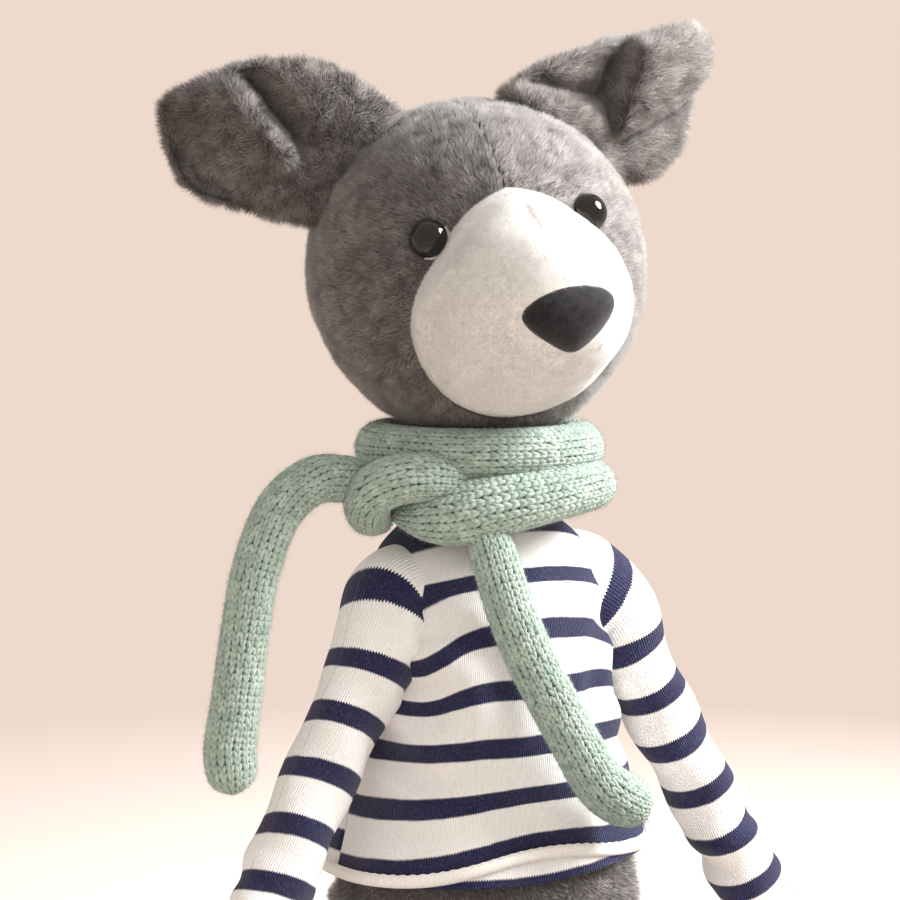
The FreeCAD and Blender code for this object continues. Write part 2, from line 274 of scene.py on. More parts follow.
def pile(name, at, normal, comb, length, width, lift, looks, body, rng, clump=4.0, wild=0.25, relief=0.5):
    """Plush pile: one three-sided tapering hair per place, combed and drawn into clumps."""
    count = len(at)
    swirl = noise3(at, clump) * 0.7 + noise3(at, clump * 0.4, 9.0) * 0.5
    comb = comb + swirl
    comb = comb - (comb * normal).sum(1, keepdims=True) * normal
    loose = rng.normal(0, wild, (count, 3))
    lay = unit(normal * lift * 0.8 + comb * 0.75 + loose)
    tall = noise3(at, clump * 0.8, 4.0)[:, :1]
    reach = length * (1.0 + 0.22 * tall + rng.normal(0, 0.09, (count, 1)))
    side = unit(np.cross(lay, unit(rng.normal(0, 1, (count, 3)))))
    other = np.cross(lay, side)
    w = width * rng.uniform(0.75, 1.2, (count, 1)) * 0.58
    root = at - normal * 0.25
    corners = [root + w * (math.cos(q) * side + math.sin(q) * other) for q in HAIR_CORNERS]
    points = np.stack(corners + [at + lay * reach], 1)
    points[..., 2] = np.maximum(points[..., 2], 0.1)
    tone = np.clip(0.5 + 0.22 * tall[:, 0] + rng.normal(0, 0.17, count), 0, 1)
    uv = np.stack([np.repeat(tone[:, None], 4, 1), np.tile([0, 0, 0, 1.0], (count, 1))], 2)
    soft = np.repeat(unit(normal + relief * lay + 0.6 * relief * loose)[:, None], 4, 1)
    material, slot = looks
    parts = int(math.ceil(count / HAIRS_PER_PIECE))
    for k, mine in enumerate(np.array_split(np.arange(count), parts)):
        base = (np.arange(len(mine)) * 4)[:, None]
        faces = np.concatenate([base + (0, 1, 3), base + (1, 2, 3), base + (2, 0, 3)], 1).reshape(-1, 3)
        label = name if parts == 1 else "%s_%d" % (name, k + 1)
        piece = make_mesh(label, points[mine].reshape(-1, 3), faces, uv[mine].reshape(-1, 2),
                          soft[mine].reshape(-1, 3))
        finish_piece(piece, material, body)


# ---- materials -------------------------------------------------------------------------------
def srgb(r, g, b):
    def line(c):
        c = c / 255.0
        return c / 12.92 if c <= 0.04045 else ((c + 0.055) / 1.055) ** 2.4
    return (line(r), line(g), line(b), 1.0)


class Shader:
    """A short way to lay out one material's nodes."""

    def __init__(self, name, roughness, sheen, specular):
        self.material = bpy.data.materials.new(name)
        self.material.use_nodes = True
        self.tree = self.material.node_tree
        self.shader = self.tree.nodes["Principled BSDF"]
        self.shader.inputs["Roughness"].default_value = roughness
        self.shader.inputs["Sheen Weight"].default_value = sheen
        self.shader.inputs["Sheen Roughness"].default_value = 0.45
        self.shader.inputs["Specular IOR Level"].default_value = specular

    def add(self, kind, **values):
        node = self.tree.nodes.new(kind)
        for key, value in values.items():
            setattr(node, key, value)
        return node

    def link(self, a, b):
        self.tree.links.new(a, b)

    def value(self, source, node_input):
        if isinstance(source, (int, float)):
            node_input.default_value = source
        else:
            self.link(source, node_input)

    def math(self, operation, a, b=0.0, c=0.0):
        node = self.add("ShaderNodeMath", operation=operation)
        for source, socket in zip((a, b, c), node.inputs):
            self.value(source, socket)
        return node.outputs[0]

    def place(self):
        return self.add("ShaderNodeTexCoord").outputs["Object"]

    def uv(self):
        node = self.add("ShaderNodeUVMap", uv_map="UVMap")
        split = self.add("ShaderNodeSeparateXYZ")
        self.link(node.outputs[0], split.inputs[0])
        return split.outputs[0], split.outputs[1]

    def noise(self, scale, detail=3.0):
        node = self.add("ShaderNodeTexNoise")
        node.inputs["Scale"].default_value = scale
        node.inputs["Detail"].default_value = detail
        node.inputs["Roughness"].default_value = 0.6
        self.link(self.place(), node.inputs["Vector"])
        return node.outputs["Fac"]

    def ramp(self, source, stops):
        node = self.add("ShaderNodeValToRGB")
        elements = node.color_ramp.elements
        while len(elements) < len(stops):
            elements.new(0.5)
        for element, (at, color) in zip(elements, stops):
            element.position = at
            element.color = color
        self.link(source, node.inputs[0])
        return node.outputs[0]

    def mix(self, factor, a, b, blend="MIX"):
        node = self.add("ShaderNodeMix", data_type="RGBA", blend_type=blend)
        self.value(factor, node.inputs["Factor"])
        for source, socket in ((a, node.inputs["A"]), (b, node.inputs["B"])):
            if isinstance(source, tuple):
                socket.default_value = source
            else:
                self.link(source, socket)
        return node.outputs["Result"]

    def color(self, source):
        if isinstance(source, tuple):
            self.shader.inputs["Base Color"].default_value = source
        else:
            self.link(source, self.shader.inputs["Base Color"])

    def relief(self, height, distance):
        """Bumps of up to distance mm."""
        node = self.add("ShaderNodeBump")
        node.inputs["Strength"].default_value = 1.0
        node.inputs["Distance"].default_value = distance * MM
        self.link(height, node.inputs["Height"])
        self.link(node.outputs[0], self.shader.inputs["Normal"])


def plush_hair(name, root, dark, light, tip, sheen=0.25):
    """Hair whose u is its own tone and whose v runs from root to tip; the darker root colour is painted shade
    down in the pile.
    """
    s = Shader(name, 0.85, sheen, 0.25)
    tone, along = s.uv()
    patches = s.noise(90.0)
    tone = s.math("MULTIPLY_ADD", patches, 0.45, s.math("MULTIPLY", tone, 0.75))
    body = s.ramp(tone, [(0.25, dark), (0.62, light), (0.95, tip)])
    # each hair darkens towards its root: painted shade deep in the pile
    s.color(s.mix(s.ramp(along, [(0.0, (0, 0, 0, 1)), (0.75, (1, 1, 1, 1))]), root, body))
    return s.material


def speckled(name, roughness, sheen, specular, scale, dark, light, upper=0.7, bumps=None):
    """Cloth, plastic or thread in two close tones; bumps is a noise scale and a height in mm."""
    s = Shader(name, roughness, sheen, specular)
    s.color(s.ramp(s.noise(scale), [(0.3, dark), (upper, light)]))
    if bumps:
        s.relief(s.noise(bumps[0]), bumps[1])
    return s.material


def jersey(name):
    """White and navy striped single jersey: u runs round in mm, v up in mm."""
    s = Shader(name, 0.82, 0.15, 0.2)
    around, up = s.uv()
    wale = s.math("FRACT", s.math("DIVIDE", around, WALE))
    tooth = s.math("ABSOLUTE", s.math("SUBTRACT", wale, 0.5))
    wander = s.math("MULTIPLY", s.math("SUBTRACT", s.noise(160.0), 0.5), 0.8)
    height = s.math("ADD", s.math("MULTIPLY_ADD", tooth, 1.3, up), wander)
    phase = s.math("FRACT", s.math("DIVIDE", s.math("SUBTRACT", height, STRIPE_TOP), STRIPE_PERIOD))
    from_middle = s.math("ABSOLUTE", s.math("SUBTRACT", s.math("FRACT", s.math("ADD", phase, 0.5)), 0.5))
    half = 0.5 * STRIPE_WIDTH / STRIPE_PERIOD
    stripe = s.ramp(from_middle, [(half - 0.004, (1, 1, 1, 1)), (half + 0.004, (0, 0, 0, 1))])
    rib = s.math("SINE", s.math("MULTIPLY", around, 2 * math.pi / WALE))
    course = s.math("SINE", s.math("MULTIPLY", up, 2 * math.pi / 0.6))
    heather = s.noise(1500.0, 2.0)
    white = s.ramp(heather, [(0.25, srgb(245, 243, 240)), (0.7, srgb(255, 254, 252))])
    navy = s.ramp(heather, [(0.3, srgb(30, 30, 56)), (0.6, srgb(47, 48, 82)), (0.8, srgb(84, 86, 122))])
    cloth = s.mix(stripe, white, navy)
    # the rib's valleys are painted a little darker: painted shade in the grooves between wales
    valley = s.math("MULTIPLY_ADD", rib, 0.5, 0.5)
    painted_groove_shade = s.ramp(valley, [(0.0, (0.93, 0.93, 0.94, 1)), (0.5, (1, 1, 1, 1))])
    s.color(s.mix(1.0, cloth, painted_groove_shade, "MULTIPLY"))
    s.relief(s.math("ADD", s.math("MULTIPLY_ADD", course, 0.3, rib), s.math("MULTIPLY", heather, 1.5)), 0.10)
    return s.material


def yarn(name, dark, mid, light):
    """Soft brushed wool: u is the stitch's own tone."""
    s = Shader(name, 0.92, 0.5, 0.15)
    tone, _ = s.uv()
    fibre = s.noise(1700.0, 4.0)
    mixed = s.math("MULTIPLY_ADD", tone, 0.45, s.math("MULTIPLY", fibre, 0.6))
    s.color(s.ramp(mixed, [(0.2, dark), (0.5, mid), (0.85, light)]))
    s.relief(fibre, 0.5)
    return s.material


def background(name):
    """A pale table top round the dog that turns softly into the peach of the room."""
    s = Shader(name, 1.0, 0.0, 0.0)
    s.color(srgb(220, 209, 202))
    length = s.add("ShaderNodeVectorMath", operation="LENGTH")
    s.link(s.place(), length.inputs[0])
    glow = s.add("ShaderNodeEmission")
    glow.inputs["Color"].default_value = ROOM
    far = s.ramp(length.outputs["Value"], [(0.16, (0, 0, 0, 1)), (0.46, (1, 1, 1, 1))])
    both = s.add("ShaderNodeMixShader")
    s.link(far, both.inputs[0])
    s.link(s.shader.outputs[0], both.inputs[1])
    s.link(glow.outputs[0], both.inputs[2])
    s.link(both.outputs[0], s.tree.nodes["Material Output"].inputs["Surface"])
    return s.material


ROOM = srgb(237, 218, 204)


# each hair look's first colour is its root's, darker as painted shade deep in the pile
HAIR_GREY = plush_hair("grey_pile", srgb(66, 61, 59), srgb(106, 100, 97), srgb(158, 152, 149),
                       srgb(206, 201, 197))
HAIR_EAR = plush_hair("ear_pile", srgb(58, 52, 49), srgb(100, 93, 89), srgb(154, 147, 143),
                      srgb(208, 202, 197))
HAIR_WHITE = plush_hair("white_pile", srgb(246, 243, 238), srgb(250, 248, 244), srgb(254, 252, 250),
                        srgb(255, 255, 254), 0.2)
# the grey cloth under the pile is darker than the hairs: painted shade beneath them
CLOTH_GREY_PAINTED_SHADE = speckled("grey_backing_painted_shade", 0.95, 0.1, 0.1, 1400.0, srgb(78, 72, 70), srgb(104, 98, 95),
                      bumps=(2200.0, 0.4))
CLOTH_WHITE = speckled("white_backing", 0.95, 0.1, 0.1, 1400.0, srgb(246, 243, 238), srgb(252, 250, 246),
                       bumps=(2200.0, 0.4))
JERSEY = jersey("striped_jersey_cloth")
BINDING = speckled("white_binding_cloth", 0.85, 0.15, 0.2, 1300.0, srgb(236, 233, 227), srgb(252, 250, 246),
                   bumps=(1800.0, 0.2))
YARN = yarn("mint_yarn", srgb(138, 160, 146), srgb(170, 190, 177), srgb(204, 218, 209))
# a darker yarn for the tube under the stitches: painted shade in the gaps between them
YARN_PAINTED_SHADE = yarn("mint_yarn_painted_shade", srgb(66, 88, 73), srgb(82, 104, 89), srgb(98, 120, 105))
VELOUR = speckled("nose_velour_cloth", 0.75, 0.25, 0.2, 420.0, srgb(14, 13, 14), srgb(46, 43, 46),
                  bumps=(2600.0, 0.35))
GLOSS = speckled("eye_gloss", 0.06, 0.0, 0.55, 900.0, srgb(10, 8, 7), srgb(26, 20, 17), upper=0.8)
THREAD = speckled("white_thread", 0.7, 0.2, 0.5, 2500.0, srgb(226, 222, 214), srgb(250, 248, 243))


def finish_piece(piece, material, body=None):
    """Gives the material; body is the one it rides on, or a tuple (body, body, start, end), whose parts are
    not used: the piece is baked in place.
    """
    piece.data.materials.append(material)
    if isinstance(body, tuple):
        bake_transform(piece)
    elif body:
        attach(piece, body)


# ---- head ------------------------------------------------------------------------------------
PATCH_SEAM = curve_through(PATCH_EDGE, 80)


def patch_edge(turn):
    """The seam's angle from the patch's axis; turn goes from straight down, -90, to straight up, 90."""
    return np.interp(turn, PATCH_SEAM[:, 0], PATCH_SEAM[:, 1])


def beyond_patch(direction):
    """How many degrees a direction from the head's middle lies outside the white patch."""
    away = np.degrees(np.arccos(np.clip(direction @ PATCH_DIR, -1, 1)))
    turn = np.degrees(np.arctan2(direction @ PATCH_UP, np.abs(direction[..., 0])))
    return away - patch_edge(turn)


def eye_dir(side):
    ahead = math.sqrt(EYE_OUT ** 2 - EYE_SIDE ** 2 - EYE_UP ** 2)
    return unit(np.array([side * EYE_SIDE, -ahead, EYE_UP]))


def head_radius(direction):
    """Radius of the head's cloth towards each unit direction, in the head's own frame."""
    x, y = direction[:, 0], direction[:, 1]
    jaw = unit(np.array([0.0, -0.62, -0.78]))
    radius = HEAD_R + 3.0 * bump(np.arccos(np.clip(direction @ jaw, -1, 1)), 0.62)
    radius = radius - 1.1 * bump(x * HEAD_R, 1.3) * (y < 0.35)
    radius = radius - 1.0 * bump(beyond_patch(direction), 2.6)
    for _, side in SIDES:
        gap = np.arccos(np.clip(direction @ eye_dir(side), -1, 1)) * HEAD_R
        radius = radius - 1.3 * bump(gap, 7.0)
    return radius + 0.5 * noise3(direction * HEAD_R, 22.0)[:, 0]


def ball_grid(rows, cols):
    """Directions over the whole ball, rows rising, columns turning left seen from above."""
    up = np.linspace(-math.pi / 2 + 0.01, math.pi / 2 - 0.01, rows)[:, None]
    turn = turns(cols)[None, :]
    return np.stack([np.cos(up) * np.cos(turn), np.cos(up) * np.sin(turn), np.sin(up) + 0 * turn], -1)


def make_head():
    grid = ball_grid(150, 260)
    flat = grid.reshape(-1, 3)
    shape = (flat * head_radius(flat)[:, None]).reshape(grid.shape)
    piece = grid_mesh("head_cloth", head_place(shape))
    finish_piece(piece, CLOTH_GREY_PAINTED_SHADE, "head")
    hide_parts("head_skin_right", "head_skin_left", "head_stuffing")
    rng = np.random.default_rng(11)
    direction = unit(rng.normal(0, 1, (HEAD_HAIRS, 3)))
    outside = beyond_patch(direction)
    keep = outside > -0.4
    for _, side in SIDES:
        keep &= np.arccos(np.clip(direction @ eye_dir(side), -1, 1)) * HEAD_R > 5.9
    direction, outside = direction[keep], outside[keep]
    up = smooth(0.2, 0.9, direction[:, 2:3])
    behind = smooth(0.3, 0.95, direction[:, 1:2])
    # the pile lies back from the muzzle, apart at the forehead's seam and down behind
    comb = direction - PATCH_DIR * 1.2 + np.sign(direction[:, :1]) * (0.8, 0, 0) * up
    comb = comb - (0, 0, 0.25) - (0, 0, 1.6) * behind
    at = direction * head_radius(direction)[:, None]
    length = PILE_HEAD * (0.66 + 0.34 * smooth(0, 12, outside))
    pile("head_pile", head_place(at), direction @ HEAD_TURNED.T, unit(comb) * 0.8 @ HEAD_TURNED.T,
         length[:, None], 0.17, 1.2, (HAIR_GREY, "grey_plush"), "head", rng, clump=3.8)


# distance ahead of the head's middle, half width, half height, rise of the ring's middle
MUZZLE_RINGS = [(33.0, 35.6, 35.0, -1.0), (37.5, 35.3, 34.8, -0.8), (44, 33.4, 32.8, 0.2),
                (53, 30.2, 29.4, 1.4), (62, 26.6, 25.6, 2.8), (70, 22.6, 21.4, 4.0), (76.5, 18.2, 17.0, 4.9),
                (81, 14.0, 13.0, 5.2), (83.5, 9.0, 8.4, 5.3), (84.5, 4.0, 3.8, 5.3), (84.8, 0.4, 0.4, 5.3)]


def seam_points(turn):
    """The muzzle's seam on the head, for turns round the patch from the dog's left through up."""
    lift = np.degrees(np.arctan2(np.sin(turn), np.abs(np.cos(turn))))
    away = np.radians(patch_edge(lift))[:, None]
    out = np.cos(turn)[:, None] * (1.0, 0, 0) + np.sin(turn)[:, None] * PATCH_UP
    return (np.cos(away) * PATCH_DIR + np.sin(away) * out) * (HEAD_R - 0.4)


def muzzle_points(rows, cols):
    """The white muzzle from its seam to its tip."""
    ring = curve_through(MUZZLE_RINGS, rows)
    turn = turns(cols)
    ahead, wide, tall, rise = [ring[:, k][:, None] for k in range(4)]
    x = wide * np.cos(turn)
    z = tall * np.sin(turn)
    crease = bump(x, 1.3) * smooth(0.9, 0.3, (ahead - 33.0) / 47.0)
    plump = 1 + 0.012 * np.sin(turn * 5 + ahead * 0.16) * smooth(33.0, 45.0, ahead)
    z = z * plump - np.where(z > 0, 1.5, -0.8) * crease + rise
    points = np.stack([x * plump, -ahead + 0 * x, z], -1)
    along = np.linspace(0, 1, rows)[:, None, None]
    return points + (seam_points(turn) - points[0]) * (1 - smooth(0, 0.45, along))


def make_muzzle():
    placed = head_place(muzzle_points(90, 200))
    piece = grid_mesh("muzzle_cloth", placed)
    finish_piece(piece, CLOTH_WHITE, "head")
    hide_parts("muzzle_skin_right", "muzzle_skin_left")
    rng = np.random.default_rng(12)
    normals = outward(normals_of(placed), placed - HEAD_AT)
    at, normal = sample_grid(placed, normals, MUZZLE_HAIRS, rng)
    comb = unit(at - head_place(np.array([[0, -90.0, 0]]))) * 0.8
    pile("muzzle_pile", at, normal, comb, PILE_MUZZLE, 0.15, 1.5, (HAIR_WHITE, "white_plush"), "head", rng,
         clump=3.0, wild=0.3, relief=0.1)


def nose_outline(turn):
    """A wide rounded triangle, point down."""
    up = np.sin(turn)
    narrow = np.where(up < 0, 1 - 0.40 * np.abs(up) ** 1.5, 1 - 0.12 * up ** 2)
    return 14.4 * np.cos(turn) * narrow, np.where(up > 0, 8.4, 13.0) * up + 1.5


def make_nose():
    reach = np.sin(np.linspace(0, 1, 34) * math.pi * 0.5)[::-1][:, None]
    turn = turns(110)[None, :]
    x, z = nose_outline(turn)
    depth = 8.8 * np.sqrt(np.maximum(1 - reach ** 2.2, 0))
    points = np.stack([NOSE_MID[0] + x * reach, NOSE_MID[1] - depth + 0 * turn,
                       NOSE_MID[2] + z * reach], -1)
    piece = grid_mesh("nose_cloth", head_place(points))
    finish_piece(piece, VELOUR, "head")
    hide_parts("nose_pad")


def make_eyes():
    profile = [(5.0, -2.5), (5.6, -0.6), (5.6, 0.2), (5.2, 1.3), (4.2, 2.8), (2.8, 3.8), (1.3, 4.3),
               (0.05, 4.45)]
    ring = curve_through(profile, 26)
    turn = turns(48)[:, None]
    for name, side in SIDES:
        out = eye_dir(side)
        e1 = unit(np.cross(out, [0, 0, 1.0]))
        circle = np.cos(turn) * e1 + np.sin(turn) * np.cross(e1, out)
        points = out * EYE_SEAT + ring[:, :1, None] * circle[None] + ring[:, 1:2, None] * out
        piece = grid_mesh("eye_dome_" + name, head_place(points))
        finish_piece(piece, GLOSS, "head")
        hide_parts("eye_" + name)


# ---- ears ------------------------------------------------------------------------------------
# each ear's outline in the head's frame: out to its side, up
EAR_EDGE = {
    "right": [(30, 30), (17.5, 46.5), (26.5, 57), (38, 65.5), (53, 68.7), (70.8, 67), (82, 63.8),
              (86.8, 60.5), (87.2, 53.5), (84.8, 41.5), (80, 34), (64, 26.5), (49, 20.5), (40, 21)],
    "left": [(28, 32), (15, 46.5), (22, 53), (34, 56.8), (46, 58.3), (58, 59.4), (70, 60.3), (78, 60),
             (83, 54.5), (81.2, 48), (76, 42.8), (74, 33.5), (69.5, 23.3), (60, 17.5), (51, 17.8), (43, 20)],
}


def from_line(x, z, a, b):
    """How far along the line from a to b each point lies, as a share, and how far to its left."""
    dx, dz = b[0] - a[0], b[1] - a[1]
    long = math.hypot(dx, dz)
    return ((x - a[0]) * dx + (z - a[1]) * dz) / long ** 2, ((z - a[1]) * dx - (x - a[0]) * dz) / long


def ear_relief(name, x, z):
    """How far an ear stands towards its front, out and up being positive."""
    if name == "right":
        s, d = from_line(x, z, (66.7, 68.3), (51.4, 42.5))
        ends = smooth(1.2, 0.85, s)
        fold = 7.5 * smooth(-1.0, 2.6, d) * (1 - 1.3 * smooth(4, 26, d)) * ends
        fold = fold - 10.5 * bump(d + 3.2, 3.9) * ends
        _, low = from_line(x, z, (77, 53), (53, 29.5))
        s2, d2 = from_line(x, z, (36.8, 53.5), (45, 42))
        crease = -2.8 * bump(d2, 2.4) * bump(s2 - 0.5, 0.7)
        return fold + crease + 2.5 * bump(np.hypot(x - 44, z - 52), 14.0) - 0.022 * np.maximum(low, 0) ** 2
    s, d = from_line(x, z, (57.8, 60.5), (48.5, 39))
    _, over = from_line(x, z, (51.5, 34), (76, 42))
    _, above = from_line(x, z, (17.5, 52), (47, 40))
    near = smooth(50, 42, x)
    tip = 8.0 * smooth(0, 2.5, d) * smooth(-0.5, 2.0, over) * (1 - 0.4 * smooth(10, 30, d))
    slit = -9.0 * bump(d + 2.8, 3.8) * smooth(1.25, 0.8, s) - 3.5 * bump(over + 2.2, 2.6) * smooth(-2, 2, d)
    roll = 4.5 * smooth(1.5, -2.0, above) * near - 3.5 * bump(above - 2.8, 2.6) * near
    return tip + slit + roll - 2.0 * bump(np.hypot(x - 42, z - 50), 9.0)


def make_ear(name, side):
    edge = np.array(EAR_EDGE[name], float)
    centre = edge.mean(0)
    loop = curve_through(np.vstack([edge, edge[:1]]), 191)[:-1]
    reach = np.sin(np.linspace(0, 1, 60) * math.pi / 2)[:, None, None]
    flat = centre + (loop - centre)[None] * reach
    x, z = flat[..., 0], flat[..., 1]
    rim = np.sqrt(np.maximum(1 - reach[..., 0] ** 6, 0))
    lift = ear_relief(name, x, z) * smooth(1.0, 0.88, reach[..., 0])
    lean = 8.0 + 0.09 * (np.hypot(x, z) - 50)
    front = np.stack([side * x, lean - lift - 2.3 * rim, z], -1)
    back = np.stack([side * x, lean - 0.8 * lift + 2.3 * rim, z], -1)
    placed = head_place(np.concatenate([front, back[::-1][1:]], 0))
    piece = grid_mesh("ear_cloth_" + name, placed, flip=side < 0)
    finish_piece(piece, CLOTH_GREY_PAINTED_SHADE, "ear_" + name)
    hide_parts("ear_front_" + name, "ear_back_" + name)
    normals = normals_of(placed)
    ahead = HEAD_TURNED @ np.array([0, -1.0, 0])
    if (normals[5] @ ahead).mean() < 0:
        normals = -normals
    rng = np.random.default_rng(21 if side < 0 else 22)
    at, normal = sample_grid(placed, normals, EAR_HAIRS, rng)
    root = head_place(np.array([[side * 22.0, 8.0, 38.0]]))
    pile("ear_pile_" + name, at, normal, unit(at - root) * 0.75, PILE_EAR, 0.19, 0.9, (HAIR_EAR, "ear_plush"),
         "ear_" + name, rng, clump=3.8, wild=0.32, relief=0.6)


# ---- body, limbs and tail --------------------------------------------------------------------
def limb_grid(route, radii, flatten=1.0):
    """A stuffed tube whose ring sizes follow radii along the route."""
    line = curve_through(np.column_stack([np.asarray(route, float), radii]), 80)
    centre, radius = line[:, :3], np.maximum(line[:, 3], 0.05)
    _, e1, e2 = carried_frames(centre, (1.0, 0.02, 0.03))
    return centre[:, None] + radius[:, None, None] * rings(e1, e2, turns(72), tall=flatten), centre


def furry(name, grid, centre, body, count, comb, cad_nodes, seed):
    """A stuffed grey plush piece with its pile."""
    piece = grid_mesh(name + "_cloth", grid)
    finish_piece(piece, CLOTH_GREY_PAINTED_SHADE, body)
    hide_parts(*cad_nodes)
    rng = np.random.default_rng(seed)
    normals = outward(normals_of(grid), grid - centre[:, None])
    at, normal = sample_grid(grid, normals, count, rng)
    keep = at[:, 2] > 1.2
    at, normal = at[keep], normal[keep]
    down = np.tile(np.asarray(comb, float), (len(at), 1))
    length = PILE_BODY * smooth(0.0, 5.0, at[:, 2:3]) + 0.2
    pile(name + "_pile", at, normal, down, length, 0.2, 1.0, (HAIR_GREY, "grey_plush"), body, rng)


def oval_grid(ovals, rows, cols=220):
    """Level ovals, each (height, half width, half depth), about the leaning middle line."""
    line = curve_through(ovals, rows)
    turn = turns(cols)[None, :]
    z = line[:, 0][:, None] + 0 * turn
    x = LEAN * z + line[:, 1][:, None] * np.cos(turn)
    y = line[:, 2][:, None] * np.sin(turn)
    return np.stack([x, y, z], -1), np.stack([LEAN * line[:, 0], 0 * line[:, 0], line[:, 0]], -1), turn


def make_body():
    grid, centre, _ = oval_grid([(0.0, 1.0, 1.0), (0.0, 20, 18)] + BODY, 120)
    grid[..., 2] = np.maximum(grid[..., 2], 0.0)
    furry("torso", grid, centre, "torso", 62000, (0, 0, -0.7),
          ["torso_skin_front", "torso_skin_back", "torso_stuffing", "base_panel", "bean_bag"], 30)


def make_neck():
    ovals = [(147, 13.0, 13.0), (155, 12.6, 12.6), (163, 12.6, 12.6), (172, 13.2, 13.2)]
    grid, centre, _ = oval_grid(ovals, 20, 60)
    furry("neck", grid, centre, "neck", 4000, (0, 0, -0.5), ["neck_skin", "neck_stuffing"], 32)


def arm_point(side, z):
    """Where the arm's middle line passes a height."""
    drop = SHOULDER[2] - z
    return np.array([side * (SHOULDER[0] + ARM_OUT * drop) + LEAN * SHOULDER[2],
                     SHOULDER[1] - ARM_FORWARD * drop, z])


def make_hands():
    for name, side in SIDES:
        axis = unit(arm_point(side, HAND_Z) - arm_point(side, CUFF_Z))
        hand = arm_point(side, HAND_Z)
        start = arm_point(side, CUFF_Z + 8)
        route = [start, arm_point(side, CUFF_Z), hand - axis * 6, hand, hand + axis * 6, hand + axis * 9.2,
                 hand + axis * 10.6]
        grid, centre = limb_grid(route, [8.0, 8.3, 9.8, HAND_R, 9.0, 5.6, 0.2], flatten=0.92)
        furry("hand_" + name, grid, centre, "arm_" + name, 13000, axis * 0.7,
              ["arm_skin_" + name, "arm_stuffing_" + name], 33)


def make_legs():
    for name, side in SIDES:
        x = side * HIP[0]
        y = HIP[1]
        end = y - LEG_LENGTH
        low = ANKLE_R + 0.9 + 1.2       # the pile and its lay keep the ankle off the table
        route = [(x, y + 11.5, HIP[2]), (x, y + 9, HIP[2]), (x, y + 2, HIP[2]), (x, y - 30, 15.8),
                 (x, y - 60, 14.4), (x, end, low)]
        grid, centre = limb_grid(route, [0.3, 8.0, LEG_R, 12.6, 11.6, ANKLE_R])
        furry("leg_" + name, grid, centre, "leg_" + name, 26000, (0, -0.7, 0),
              ["leg_skin_" + name, "leg_stuffing_" + name], 34)
        mid = FOOT_TALL + 2.4
        route = [(x, end - 7.5, mid + t * FOOT_TALL) for t in (-1.0, -0.93, -0.7, -0.3, 0.15, 0.6, 0.88, 1.0)]
        radii = [FOOT_WIDE * r for r in (0.02, 0.4, 0.82, 1.0, 0.97, 0.78, 0.45, 0.02)]
        grid, centre = limb_grid(route, radii, flatten=0.78)
        furry("foot_" + name, grid, centre, "leg_" + name, 15000, (0, 0, 0.5), ["foot_" + name], 35)


def make_tail():
    root, tip = np.array(TAIL_ROOT), np.array(TAIL_TIP)
    axis = unit(tip - root)
    route = [root - axis * 5.8, root - axis * 3, root + axis * 4, root + axis * 22, tip - axis * 4,
             tip + axis * 2.5, tip + axis * 4.6]
    grid, centre = limb_grid(route, [0.3, 3.6, 5.0, 4.8, 4.4, 2.6, 0.2])
    furry("tail", grid, centre, "tail", 11000, axis * 0.8, ["tail_skin", "tail_stuffing"], 36)


# ---- jersey top ------------------------------------------------------------------------------
def top_folds(x, y, z):
    """Soft folds of the top, in mm outwards: drag lines from the armpits and waves at the hem."""
    turn = np.arctan2(y, x - LEAN * z)
    low = smooth(75, 36, z)
    waves = 1.1 * np.sin(turn * 5 + 0.6) * low + 0.6 * np.sin(turn * 9 + z * 0.05) * low
    pits = 0
    for side in (-1.0, 1.0):
        away = np.hypot(np.abs(x) - 37, (z - 96) * 0.8) + (x * side < 0) * 99
        pits = pits + 1.6 * np.sin(away * 0.42 + y * 0.12) * bump(away - 12, 13.0) * (y < 8)
    return waves + pits + 0.4 * noise3(np.stack([x, y, z], -1).reshape(-1, 3), 16.0)[:, 0].reshape(x.shape)


def armpit_pull(x, z):
    """How far the armpit folds draw a stripe down."""
    pull = 0
    for side in (-1.0, 1.0):
        near = bump(x - side * 37, 9.0) * bump(z - 104, 16.0)
        pull = pull + near * 9.0
    return pull


def hem_rise(turn):
    """The hem's roll rides up at the front, where the cloth's edge has turned outwards."""
    return 7.6 * bump(turn - math.radians(-98), 0.52)


def edge_lift(turn, z):
    """The lowest edge hangs higher towards the dog's left."""
    return 4.6 * bump(turn - math.radians(-42), 0.8) * smooth(66, 42, z)


